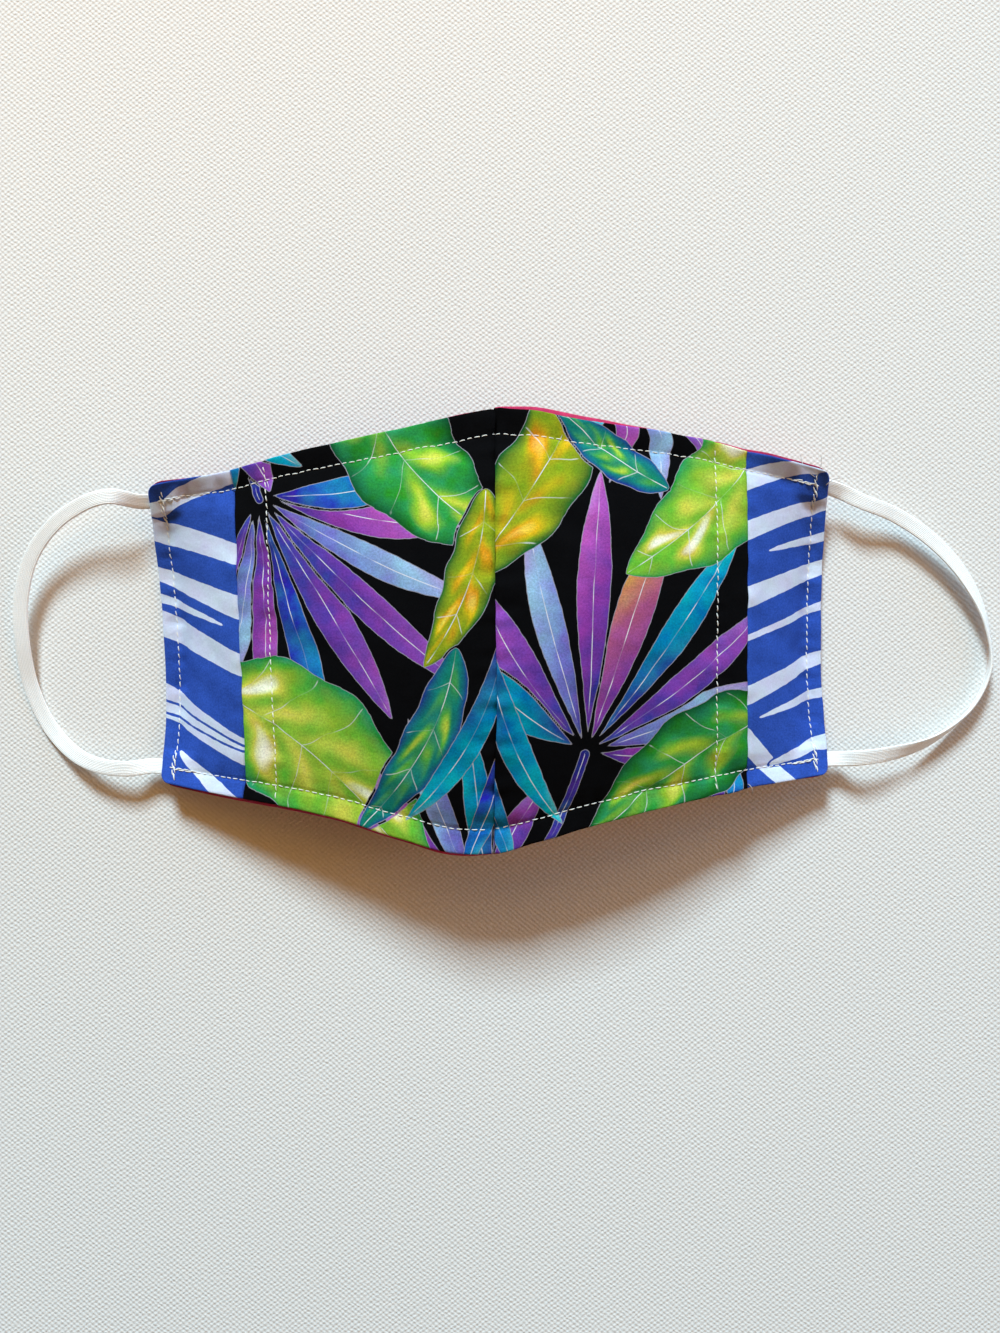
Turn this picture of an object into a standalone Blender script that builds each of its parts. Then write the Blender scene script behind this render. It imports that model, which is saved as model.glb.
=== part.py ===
"""A two-layer cloth face mask, lying dome up with its flat elastic ear loops spread out.

Metres in the file, millimetres in the constants. +Z is up, +Y the nose edge, +X the right
side as seen from above. The origin is under the middle of the cloth, on the surface it lies on.
"""

import math

import bpy
import numpy as np

MM = 0.001

# Cloth body
HALF_WIDTH = 109.2
HALF_HEIGHT = 67.8
DOME_RISE = 38.0
OUTER_CLOTH = 1.0
LINING_CLOTH = 1.0
LAYER_GAP = 0.3
PIECE_GAP = 0.3
CORNER_RADIUS = 3.0
LINING_INSET = 0.6
REST_RISE = OUTER_CLOTH + LAYER_GAP + LINING_CLOTH

# Dips along the sewn lines, and how far each reaches to a side. Topstitching runs along the
# nose and chin edges, and up each printed panel beside its seam.
CENTRE_DIP, CENTRE_DIP_REACH = 0.7, 1.6
PANEL_DIP, PANEL_DIP_REACH = 0.3, 1.5
STITCH_DIP, STITCH_DIP_REACH = 0.5, 5.0
HEM_DEPTH = 5.2
STITCH_TO_SEAM = 10.5

# Elastic
LOOP_WIDTH = 5.0
LOOP_THICKNESS = 1.0
LOOP_EDGE_ROUND = 0.3
LOOP_CLEARANCE = 0.35
TAIL_LENGTH = 5.5
LEAD_OUT = 3.0
EXIT_INSET = HEM_DEPTH
SIDE_REACH = 50.0

# The pockets between the layers that take the elastic's ends
POCKET_SIDE_ROOM = 0.6
POCKET_END_ROOM = 2.0
POCKET_FADE = 3.5
POCKET_LIFT = LOOP_THICKNESS + 2 * LOOP_CLEARANCE - LAYER_GAP
POCKET_HALF = LOOP_WIDTH / 2 + POCKET_SIDE_ROOM
POCKET_DEPTH = TAIL_LENGTH + POCKET_END_ROOM

# Fineness of the facets: where the columns of facets stand across each outer piece
MIDDLE_ROWS = 11
LOOP_STEPS = 56
PANEL_SHARES = np.concatenate([[0, 0.012, 0.03], np.linspace(0.07, 0.80, 11),
                               [0.868, 0.93, 0.982, 1]])
SIDE_SHARES = np.array([0, 0.06, 0.2, 0.36, 0.52, 0.63, 0.74, 0.83, 0.92, 1])

# Across the body, from the centre seam (0) to the side edge (1). Edges are shares of
# HALF_HEIGHT, rises are shares of DOME_RISE, lift_power says how late the edges start to rise
# or drop.
SECTION_COLUMNS = (
    "across", "left_top", "left_bottom", "right_top", "right_bottom",
    "top_rise", "middle_rise", "bottom_rise", "lift_power",
)
SECTIONS = (
    (0.00, 0.997, -0.998, 0.997, -0.998, 0.685, 1.010, 0.660, 2.0),
    (0.08, 0.974, -1.001, 0.992, -0.966, 0.675, 0.985, 0.664, 2.0),
    (0.25, 0.916, -0.938, 0.951, -0.886, 0.640, 0.915, 0.662, 2.1),
    (0.45, 0.854, -0.845, 0.915, -0.808, 0.570, 0.790, 0.595, 2.2),
    (0.62, 0.801, -0.795, 0.878, -0.757, 0.495, 0.640, 0.490, 2.3),
    (0.75, 0.751, -0.767, 0.838, -0.720, 0.425, 0.470, 0.385, 2.4),
    (0.90, 0.723, -0.736, 0.801, -0.692, 0.340, 0.190, 0.262, 2.4),
    (0.96, 0.711, -0.722, 0.783, -0.681, 0.312, 0.040, 0.220, 2.4),
    (1.00, 0.699, -0.711, 0.771, -0.675, 0.296, 0.030, 0.196, 2.4),
)

# Up the body, from the chin edge (0) to the nose edge (1): where each upright line runs, as a
# share of HALF_WIDTH.
UPRIGHT_COLUMNS = ("up", "left_side", "left_seam", "centre", "right_seam", "right_side")
UPRIGHTS = (
    (0.00, -0.972, -0.711, 0.014, 0.745, 0.998),
    (0.10, -0.972, -0.708, 0.013, 0.746, 1.000),
    (0.35, -0.973, -0.715, 0.021, 0.742, 0.992),
    (0.55, -0.982, -0.723, 0.017, 0.743, 0.993),
    (0.80, -0.998, -0.731, 0.016, 0.744, 0.997),
    (1.00, -0.998, -0.744, 0.016, 0.740, 0.994),
)

# How far the lining's edge passes the outer cloth's edge, as a share of RIM_REACH
RIM_REACH = 1.5
RIM_COLUMNS = ("across", "left_top", "left_bottom", "right_top", "right_bottom")
LINING_RIM = (
    (0.00, 0.4, 0.5, 0.5, 0.5),
    (0.08, 0.6, 0.8, 0.9, 0.5),
    (0.28, 0.1, 0.9, 1.0, 0.2),
    (0.45, 0.0, 0.9, 0.6, 0.0),
    (0.85, 0.0, 0.7, 0.6, 0.0),
    (1.00, 0.0, 0.1, 0.1, 0.0),
)

# How much further from the corner each tail's inner end lies than its exit
TAIL_SLANT = {("left", "top"): 0.8, ("left", "bottom"): 0.4,
              ("right", "top"): -0.5, ("right", "bottom"): 0.4}

# The upper left corner is turned up by this much, fading over the reach away from it
CURLED_CORNER = ("left", "top")
CURL_RISE, CURL_REACH = 1.6, 22.0

# Routes of the ear loops, from the upper exit to the lower one. out is a share of SIDE_REACH
# outwards from the side edge, up a share of HALF_HEIGHT, rise a share of DOME_RISE for the
# band's middle line, turn the degrees its flat face is rolled outwards.
ROUTE_COLUMNS = ("out", "up", "rise", "turn")
LOOP_ROUTES = {
    "left": (
        (0.237, 0.643, 0.335, 0), (0.496, 0.580, 0.290, 0), (0.762, 0.388, 0.212, 0),
        (0.860, 0.171, 0.160, 0), (0.866, -0.048, 0.114, 0), (0.822, -0.270, 0.047, 0),
        (0.676, -0.480, 0.044, 0), (0.408, -0.618, 0.154, 0), (0.176, -0.645, 0.180, 0),
    ),
    "right": (
        (0.203, 0.633, 0.212, 0), (0.451, 0.566, 0.158, 0), (0.708, 0.436, 0.143, 8),
        (0.920, 0.259, 0.125, 25), (1.058, 0.049, 0.092, 55), (1.085, -0.165, 0.080, 76),
        (0.985, -0.338, 0.073, 78), (0.752, -0.490, 0.098, 60), (0.395, -0.574, 0.182, 20),
        (0.180, -0.593, 0.196, 4),
    ),
}

# Colour of each kind of piece
COLOURS = {
    "outer_panel": (0.10, 0.03, 0.16, 1.0),
    "side_panel": (0.04, 0.10, 0.42, 1.0),
    "lining": (0.60, 0.04, 0.17, 1.0),
    "ear_loop": (0.85, 0.84, 0.80, 1.0),
}


def column(columns, rows, name):
    return np.array([row[columns.index(name)] for row in rows], float)


def smooth(at, knots, values):
    """A smooth curve through the values at the knots; values may be numbers or points."""
    values = np.asarray(values, float)
    steps = np.diff(knots)
    rates = np.diff(values, axis=0) / steps.reshape((-1,) + (1,) * (values.ndim - 1))
    weights = (steps / (np.roll(steps, 1) + steps))[1:].reshape((-1,) + (1,) * (values.ndim - 1))
    inner = rates[:-1] * weights + rates[1:] * (1 - weights)
    slopes = np.concatenate([rates[:1], inner, rates[-1:]])
    place = np.clip(np.searchsorted(knots, at, side="right") - 1, 0, len(knots) - 2)
    shape = np.shape(at) + (1,) * (values.ndim - 1)
    width = steps[place].reshape(shape)
    share = ((np.clip(at, knots[0], knots[-1]) - knots[place]) / steps[place]).reshape(shape)
    return (
        (1 + 2 * share) * (1 - share) ** 2 * values[place]
        + share * (1 - share) ** 2 * width * slopes[place]
        + share**2 * (3 - 2 * share) * values[place + 1]
        - share**2 * (1 - share) * width * slopes[place + 1]
    )


def section_value(name, across):
    return smooth(across, column(SECTION_COLUMNS, SECTIONS, "across"),
                  column(SECTION_COLUMNS, SECTIONS, name))


def upright(name, up):
    return HALF_WIDTH * smooth(up, column(UPRIGHT_COLUMNS, UPRIGHTS, "up"),
                               column(UPRIGHT_COLUMNS, UPRIGHTS, name))


def fade(distance, full, reach):
    """1 up to full, falling smoothly to 0 over reach."""
    share = np.clip((distance - full) / reach, 0, 1)
    return 0.5 + 0.5 * np.cos(math.pi * share)


def edge_height(side, edge, across):
    return HALF_HEIGHT * section_value(side + "_" + edge, across)


def side_height(side):
    """Length of the side edge, from its lower corner to its upper one."""
    return float(edge_height(side, "top", 1.0) - edge_height(side, "bottom", 1.0))


def side_edge(side, up):
    """Where the side edge runs, with its two corners rounded."""
    from_corner = np.minimum(np.clip(up, 0, 1), np.clip(1 - up, 0, 1)) * side_height(side)
    into = np.clip(1 - from_corner / CORNER_RADIUS, 0, 1)
    inset = CORNER_RADIUS * (1 - np.sqrt(1 - into**2))
    outwards = -1 if side == "left" else 1
    return upright(side + "_side", up) - outwards * inset


def cloth_point(side, x, up):
    """A point on the top of the cloth before the pockets for the elastic are raised."""
    centre = upright("centre", up)
    edge = upright(side + "_side", up)
    across = np.clip((x - centre) / (edge - centre), 0, 1)
    top, bottom = edge_height(side, "top", across), edge_height(side, "bottom", across)
    power = section_value("lift_power", across)
    to_top = np.clip(2 * up - 1, 0, None) ** power
    to_bottom = np.clip(1 - 2 * up, 0, None) ** power
    middle = section_value("middle_rise", across)
    rise = DOME_RISE * (
        middle
        + (section_value("top_rise", across) - middle) * to_top
        + (section_value("bottom_rise", across) - middle) * to_bottom
    )
    in_from_edge = np.abs(edge - x)
    if side == CURLED_CORNER[0]:
        towards = to_top if CURLED_CORNER[1] == "top" else to_bottom
        rise = rise + CURL_RISE * fade(in_from_edge, 0, CURL_REACH) * towards
    rise = rise - CENTRE_DIP * fade(np.abs(x - centre), 0, CENTRE_DIP_REACH)
    into_panel = np.abs(x - centre) - np.abs(upright(side + "_seam", up) - centre)
    rise = rise - PANEL_DIP * fade(np.abs(into_panel), 0, PANEL_DIP_REACH)
    rise = rise - STITCH_DIP * fade(np.abs(into_panel + STITCH_TO_SEAM), 0, STITCH_DIP_REACH)
    from_end = np.minimum(up, 1 - up) * side_height(side)
    hem_line = fade(np.abs(from_end - HEM_DEPTH), 0, STITCH_DIP_REACH)
    off_pocket = 1 - fade(in_from_edge, POCKET_DEPTH, LOOP_WIDTH)
    rise = rise - STITCH_DIP * hem_line * off_pocket
    rise = np.maximum(rise, REST_RISE)
    return np.stack([x, bottom + (top - bottom) * up, rise], axis=-1)


def cloth_normal(side, x, up):
    step_x, step_up = 0.2, 0.002
    along = cloth_point(side, x + step_x, up) - cloth_point(side, x - step_x, up)
    upwards = cloth_point(side, x, up + step_up) - cloth_point(side, x, up - step_up)
    normal = np.cross(along, upwards)
    return normal / np.linalg.norm(normal, axis=-1, keepdims=True)


def pocket(side, x, up):
    """How far the outer cloth is raised over the elastic's ends."""
    height = side_height(side)
    along = np.minimum(np.abs(up * height - EXIT_INSET), np.abs((1 - up) * height - EXIT_INSET))
    inwards = np.abs(side_edge(side, up) - x)
    return (POCKET_LIFT * fade(along, POCKET_HALF, POCKET_FADE)
            * fade(inwards, POCKET_DEPTH, LOOP_WIDTH))


def row_shares(side):
    """The rows of facets, as shares up the body: close together at the pockets."""
    height = side_height(side)
    near = np.array([0, CORNER_RADIUS / 4, EXIT_INSET - POCKET_HALF, EXIT_INSET,
                     EXIT_INSET + POCKET_HALF, EXIT_INSET + POCKET_HALF + POCKET_FADE]) / height
    middle = np.linspace(near[-1], 1 - near[-1], MIDDLE_ROWS + 2)[1:-1]
    return np.concatenate([near, middle, 1 - near[::-1]])


def make_object(name, points, faces):
    mesh = bpy.data.meshes.new(name)
    mesh.from_pydata((np.asarray(points) * MM).tolist(), [], faces)
    mesh.update()
    made = bpy.data.objects.new(name, mesh)
    collection.objects.link(made)
    dress(made, name)
    return made


def dress(made, name):
    kind = name.rsplit("_", 1)[0]
    material = bpy.data.materials.get(kind) or bpy.data.materials.new(kind)
    material.use_nodes = True
    shader = material.node_tree.nodes["Principled BSDF"]
    shader.inputs["Base Color"].default_value = COLOURS[kind]
    shader.inputs["Roughness"].default_value = 0.85
    made.data.materials.append(material)


def cloth_sheet(name, grid, thickness, flip):
    """A sheet lofted through the rows of points, thickened downwards."""
    rows, columns = grid.shape[:2]
    faces = []
    for i in range(rows - 1):
        for j in range(columns - 1):
            corner = i * columns + j
            face = (corner, corner + 1, corner + columns + 1, corner + columns)
            faces.append(face[::-1] if flip else face)
    made = make_object(name, grid.reshape(-1, 3), faces)
    wall = made.modifiers.new("Wall", "SOLIDIFY")
    wall.thickness = thickness * MM
    wall.offset = -1
    return made


def lines_across(side):
    """The upright lines that bound the pieces of one half, as functions of the height."""
    outwards = -1 if side == "left" else 1
    gap = outwards * PIECE_GAP / 2
    return (lambda up: upright("centre", up) + gap,
            lambda up: upright(side + "_seam", up) - gap,
            lambda up: upright(side + "_seam", up) + gap,
            lambda up: side_edge(side, up))


def outer_piece(name, side, first, last, shares):
    """A piece of outer cloth between the upright lines first(up) and last(up)."""
    up = row_shares(side)[:, None] + 0 * shares[None, :]
    x = first(up) + (last(up) - first(up)) * shares
    raised = cloth_normal(side, x, up) * pocket(side, x, up)[..., None]
    cloth_sheet(name + side, cloth_point(side, x, up) + raised, OUTER_CLOTH, side == "left")


def lining_piece(side):
    """The lining under both outer pieces of a half, on the same facets as they are."""
    middle, seam_in, seam_out, edge = lines_across(side)
    up = row_shares(side)[:, None]
    inner = middle(up) + (seam_in(up) - middle(up)) * PANEL_SHARES
    outer = seam_out(up) + (edge(up) - seam_out(up)) * SIDE_SHARES
    x = np.concatenate([inner, outer[:, 1:]], axis=1)
    up = up + 0 * x
    x[:, -1] -= np.sign(x[:, -1]) * LINING_INSET
    across = (x - middle(up)) / (edge(up) - middle(up))
    length = edge_height(side, "top", across) - edge_height(side, "bottom", across)
    for row, name, sign in ((0, side + "_bottom", -1), (-1, side + "_top", 1)):
        past = smooth(across[row], column(RIM_COLUMNS, LINING_RIM, "across"),
                      column(RIM_COLUMNS, LINING_RIM, name))
        up[row] += sign * RIM_REACH * past / length[row]
    depth = OUTER_CLOTH + LAYER_GAP
    grid = cloth_point(side, x, up) - depth * cloth_normal(side, x, up)
    cloth_sheet("lining_" + side, grid, LINING_CLOTH, side == "left")


def exit_frame(side, edge):
    """Three points of the elastic's middle line where it leaves the layers, and its normal."""
    outwards = -1 if side == "left" else 1
    shares = np.array([EXIT_INSET + TAIL_SLANT[side, edge], EXIT_INSET]) / side_height(side)
    up = 1 - shares if edge == "top" else shares
    x = side_edge(side, up) - outwards * np.array([TAIL_LENGTH, 0])
    normal = cloth_normal(side, x.mean(), up.mean())
    level = (OUTER_CLOTH + LAYER_GAP) - (LAYER_GAP + POCKET_LIFT) / 2
    inner, outer = cloth_point(side, x, up) - level * normal
    heading = (outer - inner) / np.linalg.norm(outer - inner)
    return inner, outer, outer + LEAD_OUT * heading, normal


def loop_route(side):
    """Points and face directions along an ear loop, from one tail to the other."""
    outwards = -1 if side == "left" else 1
    top, bottom = exit_frame(side, "top"), exit_frame(side, "bottom")
    points, ups = list(top[:3]), [top[3]] * 3
    rows = LOOP_ROUTES[side]
    for out, up, rise, turn in rows:
        points.append(np.array([outwards * (HALF_WIDTH + out * SIDE_REACH),
                                up * HALF_HEIGHT, rise * DOME_RISE]))
        ups.append(None)
    points += [bottom[2], bottom[1], bottom[0]]
    ups += [bottom[3]] * 3
    for i, row in enumerate(rows, start=3):
        heading = points[i + 1] - points[i - 1]
        heading /= np.linalg.norm(heading)
        level = np.array([0, 0, 1.0]) - heading[2] * heading
        level /= np.linalg.norm(level)
        turn = math.radians(row[ROUTE_COLUMNS.index("turn")])
        away = np.cross(heading, level)
        away *= outwards * np.sign(away[0])
        ups[i] = math.cos(turn) * level + math.sin(turn) * away
    points, ups = np.array(points), np.array(ups)
    run = np.concatenate([[0], np.cumsum(np.linalg.norm(np.diff(points, axis=0), axis=1))])
    at = np.linspace(0, run[-1], LOOP_STEPS + 1)
    return smooth(at, run, points), smooth(at, run, ups)


def ear_loop(side, profile):
    points, ups = loop_route(side)
    headings = np.gradient(points, axis=0)
    headings /= np.linalg.norm(headings, axis=1, keepdims=True)
    curve = bpy.data.curves.new("ear_loop_" + side, "CURVE")
    curve.dimensions = "3D"
    curve.twist_mode = "Z_UP"
    curve.bevel_mode = "OBJECT"
    curve.bevel_object = profile
    curve.use_fill_caps = True
    line = curve.splines.new("POLY")
    line.points.add(len(points) - 1)
    for knot, point, heading, face in zip(line.points, points, headings, ups):
        level = np.array([0, 0, 1.0]) - heading[2] * heading
        away = np.cross(heading, level)
        knot.co = (*(point * MM), 1)
        knot.tilt = math.atan2(face @ away, face @ level)
    made = bpy.data.objects.new("ear_loop_" + side, curve)
    collection.objects.link(made)
    dress(made, made.name)
    return made


def band_profile():
    """The elastic's cross-section: a flat rectangle with its edges taken off."""
    across, high = LOOP_WIDTH / 2, LOOP_THICKNESS / 2
    corners = [(across, high - LOOP_EDGE_ROUND), (across - LOOP_EDGE_ROUND, high)]
    corners += [(-x, y) for x, y in corners[::-1]]
    corners += [(-x, -y) for x, y in corners]
    curve = bpy.data.curves.new("band_profile", "CURVE")
    line = curve.splines.new("POLY")
    line.points.add(len(corners) - 1)
    for knot, (x, y) in zip(line.points, corners[::-1]):
        knot.co = (x * MM, y * MM, 0, 1)
    line.use_cyclic_u = True
    profile = bpy.data.objects.new("band_profile", curve)
    profile.hide_render = True
    profile.display_type = "WIRE"
    helpers.objects.link(profile)
    return profile


for old in list(bpy.data.objects):
    bpy.data.objects.remove(old, do_unlink=True)
collection = bpy.data.collections.new("cloth_face_mask")
helpers = bpy.data.collections.new("profiles")
for made_collection in (collection, helpers):
    bpy.context.scene.collection.children.link(made_collection)
helpers.hide_render = True

band = band_profile()
for half in ("left", "right"):
    centre_line, panel_in, panel_out, side_line = lines_across(half)
    outer_piece("outer_panel_", half, centre_line, panel_in, PANEL_SHARES)
    outer_piece("side_panel_", half, panel_out, side_line, SIDE_SHARES)
    lining_piece(half)
    ear_loop(half, band)
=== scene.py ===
"""Looks of the cloth face mask: printed cotton, lining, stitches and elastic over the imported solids."""

import math

import bpy
import numpy as np
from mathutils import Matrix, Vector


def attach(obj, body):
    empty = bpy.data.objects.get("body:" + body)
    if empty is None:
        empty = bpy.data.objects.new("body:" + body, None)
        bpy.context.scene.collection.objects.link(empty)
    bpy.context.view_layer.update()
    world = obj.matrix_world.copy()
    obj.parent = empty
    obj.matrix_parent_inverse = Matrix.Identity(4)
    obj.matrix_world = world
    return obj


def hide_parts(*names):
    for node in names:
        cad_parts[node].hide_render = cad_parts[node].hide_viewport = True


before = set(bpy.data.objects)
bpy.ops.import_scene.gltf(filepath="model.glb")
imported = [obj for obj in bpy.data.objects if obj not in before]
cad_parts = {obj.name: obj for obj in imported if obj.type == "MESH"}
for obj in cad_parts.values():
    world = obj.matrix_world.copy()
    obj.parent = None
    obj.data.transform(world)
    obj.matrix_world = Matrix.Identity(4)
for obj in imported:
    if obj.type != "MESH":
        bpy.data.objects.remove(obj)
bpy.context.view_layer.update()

MM = 0.001

# Sizes, tables and shapes of the part's source, in millimetres; only the lining's rim reaches further
HALF_WIDTH = 109.2
HALF_HEIGHT = 67.8
DOME_RISE = 38.0
OUTER_CLOTH = 1.0
LINING_CLOTH = 1.0
LAYER_GAP = 0.3
CORNER_RADIUS = 3.0
LINING_INSET = 0.6
REST_RISE = OUTER_CLOTH + LAYER_GAP + LINING_CLOTH
CENTRE_DIP, CENTRE_DIP_REACH = 0.7, 1.6
PANEL_DIP, PANEL_DIP_REACH = 0.3, 1.5
STITCH_DIP, STITCH_DIP_REACH = 0.5, 5.0
HEM_DEPTH = 5.2
STITCH_TO_SEAM = 10.5
LOOP_WIDTH = 5.0
LOOP_THICKNESS = 1.0
LOOP_CLEARANCE = 0.35
TAIL_LENGTH = 5.5
LEAD_OUT = 3.0
EXIT_INSET = HEM_DEPTH
SIDE_REACH = 50.0
POCKET_SIDE_ROOM = 0.6
POCKET_END_ROOM = 2.0
POCKET_FADE = 3.5
POCKET_LIFT = LOOP_THICKNESS + 2 * LOOP_CLEARANCE - LAYER_GAP
POCKET_HALF = LOOP_WIDTH / 2 + POCKET_SIDE_ROOM
POCKET_DEPTH = TAIL_LENGTH + POCKET_END_ROOM
OUTWARDS = {"left": -1, "right": 1}

SECTION_COLUMNS = (
    "across", "left_top", "left_bottom", "right_top", "right_bottom",
    "top_rise", "middle_rise", "bottom_rise", "lift_power",
)
SECTIONS = (
    (0.00, 0.997, -0.998, 0.997, -0.998, 0.685, 1.010, 0.660, 2.0),
    (0.08, 0.974, -1.001, 0.992, -0.966, 0.675, 0.985, 0.664, 2.0),
    (0.25, 0.916, -0.938, 0.951, -0.886, 0.640, 0.915, 0.662, 2.1),
    (0.45, 0.854, -0.845, 0.915, -0.808, 0.570, 0.790, 0.595, 2.2),
    (0.62, 0.801, -0.795, 0.878, -0.757, 0.495, 0.640, 0.490, 2.3),
    (0.75, 0.751, -0.767, 0.838, -0.720, 0.425, 0.470, 0.385, 2.4),
    (0.90, 0.723, -0.736, 0.801, -0.692, 0.340, 0.190, 0.262, 2.4),
    (0.96, 0.711, -0.722, 0.783, -0.681, 0.312, 0.040, 0.220, 2.4),
    (1.00, 0.699, -0.711, 0.771, -0.675, 0.296, 0.030, 0.196, 2.4),
)
UPRIGHT_COLUMNS = ("up", "left_side", "left_seam", "centre", "right_seam", "right_side")
UPRIGHTS = (
    (0.00, -0.972, -0.711, 0.014, 0.745, 0.998),
    (0.10, -0.972, -0.708, 0.013, 0.746, 1.000),
    (0.35, -0.973, -0.715, 0.021, 0.742, 0.992),
    (0.55, -0.982, -0.723, 0.017, 0.743, 0.993),
    (0.80, -0.998, -0.731, 0.016, 0.744, 0.997),
    (1.00, -0.998, -0.744, 0.016, 0.740, 0.994),
)
RIM_REACH, RIM_FADE = 1.5, 6.0
RIM_COLUMNS = ("across", "left_top", "left_bottom", "right_top", "right_bottom")
LINING_RIM = (
    (0.00, 0.4, 0.5, 0.5, 0.5),
    (0.08, 0.6, 0.8, 1.2, 0.5),
    (0.28, 0.1, 0.9, 1.3, 0.2),
    (0.45, 0.0, 0.9, 0.6, 0.0),
    (0.85, 0.0, 0.7, 0.6, 0.0),
    (1.00, 0.0, 0.1, 0.1, 0.0),
)
TAIL_SLANT = {("left", "top"): 0.8, ("left", "bottom"): 0.4,
              ("right", "top"): -0.5, ("right", "bottom"): 0.4}
CURLED_CORNER = ("left", "top")
CURL_RISE, CURL_REACH = 1.6, 22.0
ROUTE_COLUMNS = ("out", "up", "rise", "turn")
LOOP_ROUTES = {
    "left": (
        (0.237, 0.643, 0.335, 0), (0.496, 0.580, 0.290, 0), (0.762, 0.388, 0.212, 0),
        (0.860, 0.171, 0.160, 0), (0.866, -0.048, 0.114, 0), (0.822, -0.270, 0.047, 0),
        (0.676, -0.480, 0.044, 0), (0.408, -0.618, 0.154, 0), (0.176, -0.645, 0.180, 0),
    ),
    "right": (
        (0.203, 0.633, 0.212, 0), (0.451, 0.566, 0.158, 0), (0.708, 0.436, 0.143, 8),
        (0.920, 0.259, 0.125, 25), (1.058, 0.049, 0.092, 55), (1.085, -0.165, 0.080, 76),
        (0.985, -0.338, 0.073, 78), (0.752, -0.490, 0.098, 60), (0.395, -0.574, 0.182, 20),
        (0.180, -0.593, 0.196, 4),
    ),
}

# Grids of the cloth: their steps, and how far in from seams and hems a sheet's edge is rounded
GRID_STEP, LINING_STEP = 0.5, 0.95
UPRIGHT_STEP_SHARE = 0.72
SEAM_ROUND, HEM_ROUND = 0.8, 0.6

# Fine relief: grooves at the stitches, flares towards the edges, knobs at the corners
STITCH_GROOVE, STITCH_GROOVE_REACH = 0.28, 1.5
TOP_FLARE, BOTTOM_FLARE, SIDE_FLARE = 2.1, 1.5, 0.9
FLARE_POWER = 1.15
CORNER_SHARE = 0.85
KNOB_REACH, KNOB_INSET = 2.6, 2.08
KNOBS = {("left", 1): 0.6, ("left", 0): 0.4, ("right", 1): 1.5, ("right", 0): 0.5}
SIDE_STITCH = 4.4

# Puckers beside the stitching and soft waves of the whole cloth: height, reach and wave length
PUCKER, PUCKER_REACH = 0.26, 5.0
HEM_WAVE, STITCH_WAVE = 6.3, 6.9
SEAM_PUCKER, SEAM_PUCKER_REACH, SEAM_WAVE = 0.42, 10.0, 8.3
PANEL_PUCKER, PANEL_PUCKER_REACH, PANEL_WAVE = 0.21, 6.0, 9.7
SOFT_HEIGHT, SOFT_WAVES = 0.9, (23.0, 31.0)

# How much of the pocket's height the cloth takes, and of the relief it then loses
POCKET_SHOWS, POCKET_CALMS = 0.8, 0.85

# Stitches
STITCH_PITCH = 2.35
STITCH_GAP = 0.35
SLANT, SLANTED_STITCH = 10.0, 2.05
STITCH_LEAN, STITCH_SWAY = 0.05, 0.07
ROW_SHIFT, ROW_END, UPRIGHT_END = 0.3, 1.0, 0.18
THREAD_WIDE, THREAD_HIGH, THREAD_END = 0.18, 0.15, 0.55
STITCH_RINGS, STITCH_SIDES = 6, 8
ROW_POINTS = 500


def unit(vectors):
    return vectors / np.linalg.norm(vectors, axis=-1, keepdims=True)


def run_lengths(points):
    """How far along each line of points they lie; a line runs down the first axis."""
    steps = np.linalg.norm(np.diff(points, axis=0), axis=-1)
    return np.concatenate([0 * steps[:1], np.cumsum(steps, axis=0)])


def smooth(at, knots, values):
    """A smooth curve through the values at the knots; values may be numbers or points."""
    values = np.asarray(values, float)
    steps = np.diff(knots)
    rates = np.diff(values, axis=0) / steps.reshape((-1,) + (1,) * (values.ndim - 1))
    weights = (steps / (np.roll(steps, 1) + steps))[1:].reshape((-1,) + (1,) * (values.ndim - 1))
    inner = rates[:-1] * weights + rates[1:] * (1 - weights)
    slopes = np.concatenate([rates[:1], inner, rates[-1:]])
    place = np.clip(np.searchsorted(knots, at, side="right") - 1, 0, len(knots) - 2)
    shape = np.shape(at) + (1,) * (values.ndim - 1)
    width = steps[place].reshape(shape)
    share = ((np.clip(at, knots[0], knots[-1]) - knots[place]) / steps[place]).reshape(shape)
    return (
        (1 + 2 * share) * (1 - share) ** 2 * values[place]
        + share * (1 - share) ** 2 * width * slopes[place]
        + share**2 * (3 - 2 * share) * values[place + 1]
        - share**2 * (1 - share) * width * slopes[place + 1]
    )


def table_value(columns, rows, name, at):
    """A column of a table read at values of its first column."""
    table = np.array(rows, float)
    return smooth(at, table[:, 0], table[:, columns.index(name)])


def section_value(name, across):
    return table_value(SECTION_COLUMNS, SECTIONS, name, across)


def upright(name, up):
    return HALF_WIDTH * table_value(UPRIGHT_COLUMNS, UPRIGHTS, name, up)


def fade(distance, full, reach):
    """1 up to full, falling smoothly to 0 over reach."""
    share = np.clip((distance - full) / reach, 0, 1)
    return 0.5 + 0.5 * np.cos(math.pi * share)


def edge_height(side, edge, across):
    return HALF_HEIGHT * section_value(side + "_" + edge, across)


def side_height(side):
    return float(edge_height(side, "top", 1.0) - edge_height(side, "bottom", 1.0))


def side_edge(side, up):
    """Where the side edge runs, with its two corners rounded."""
    from_corner = np.minimum(np.clip(up, 0, 1), np.clip(1 - up, 0, 1)) * side_height(side)
    inset = rounding(from_corner, CORNER_RADIUS, CORNER_RADIUS)
    return upright(side + "_side", up) - OUTWARDS[side] * inset


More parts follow.
